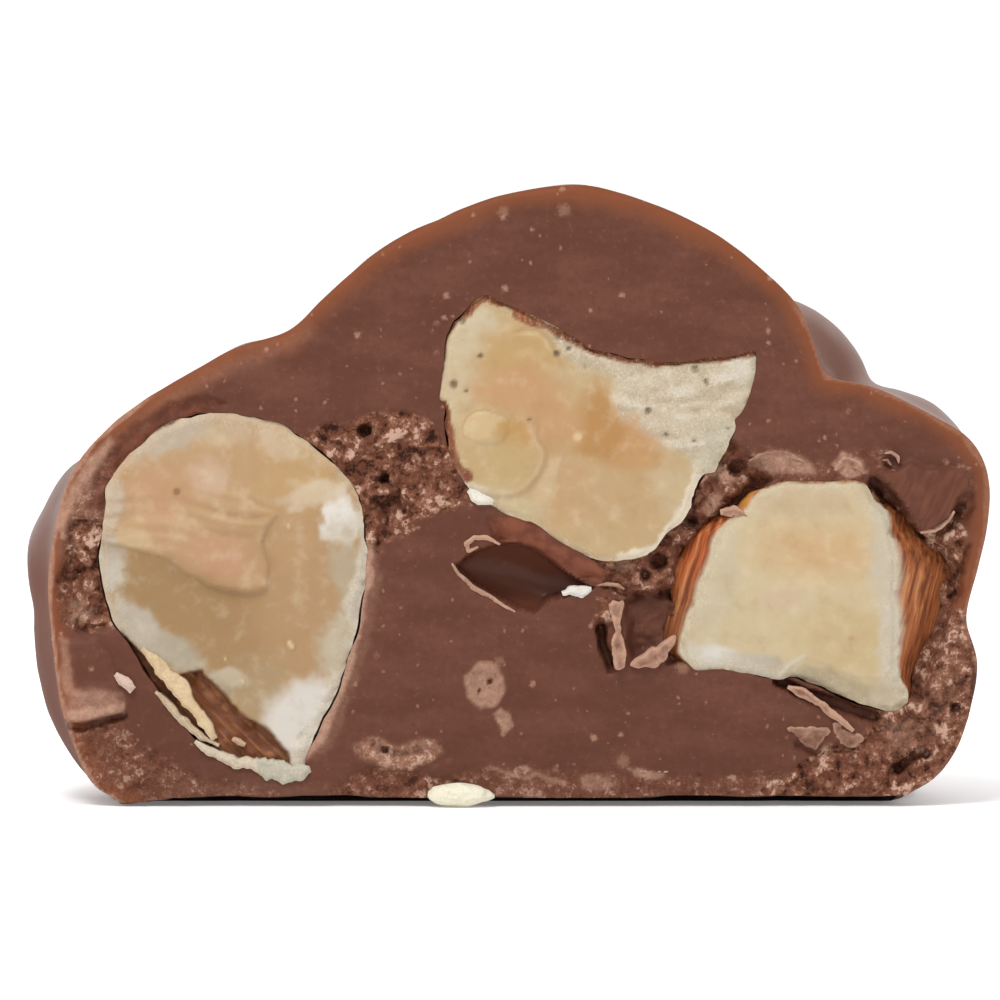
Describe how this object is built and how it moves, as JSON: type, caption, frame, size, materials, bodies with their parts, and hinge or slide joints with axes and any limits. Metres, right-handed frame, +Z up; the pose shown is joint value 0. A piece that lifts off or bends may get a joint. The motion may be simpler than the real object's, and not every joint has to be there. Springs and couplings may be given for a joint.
{
  "type": "chocolate almond cluster",
  "caption": "Milk chocolate almond cluster cut in half, standing on a flat base: domed, lumpy outer skin and an upright cut face with chopped almonds.",
  "frame": {"origin": "centre of the bounding box's bottom face, on the flat base", "axes": "+X along the cut face, from its left to its right as the cut is looked at; -Y out of the cut face; +Z up from the base"},
  "size_m": [0.0442, 0.0236, 0.0284],
  "materials": {
    "milk_chocolate": "satin milk chocolate, duller where it is cut",
    "almond": "matt cream almond flesh with a brown skin"
  },
  "bodies": {
    "root": {"chocolate": "milk_chocolate", "almond_left": "almond", "almond_centre": "almond", "almond_right": "almond", "almond_crumb": "almond"}
  },
  "joints": []
}
